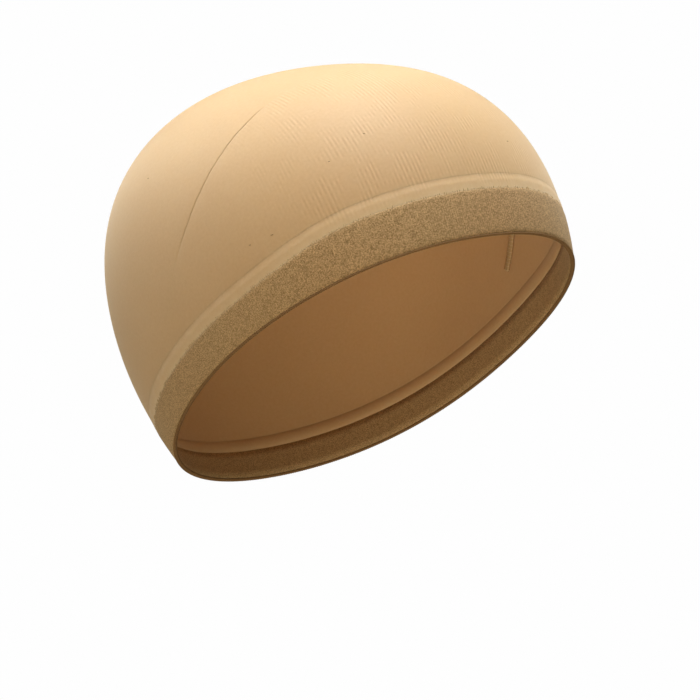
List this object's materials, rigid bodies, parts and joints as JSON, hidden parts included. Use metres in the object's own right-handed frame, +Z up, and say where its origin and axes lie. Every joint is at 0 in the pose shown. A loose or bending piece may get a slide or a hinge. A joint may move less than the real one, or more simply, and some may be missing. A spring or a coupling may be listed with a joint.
{
  "type": "wig cap",
  "caption": "Stocking type wig cap of sheer stretch knit, sewn shut over the crown, with a doubled elastic band round its slanting open edge.",
  "frame": {"origin": "inner face of the crown at its top, straight above the ears, where the cap sits on a head", "axes": "+Z up, forehead towards -Y, nape towards +Y, the wearer's right towards -X"},
  "size_m": [0.1534, 0.1899, 0.1587],
  "materials": {
    "sheer_knit": "fine stretch nylon knit, matt with a faint sheen",
    "seam_stitching": "overlocked seam, matt",
    "welt_knit": "closer nylon knit, matt",
    "band_knit": "doubled elastic nylon knit, matt and speckled",
    "hem_thread": "covered elastic thread, matt"
  },
  "bodies": {
    "root": {"crown": "sheer_knit", "crown_seam": "seam_stitching", "after_welt": "welt_knit", "band": "band_knit", "hem_edge": "hem_thread"}
  },
  "joints": []
}
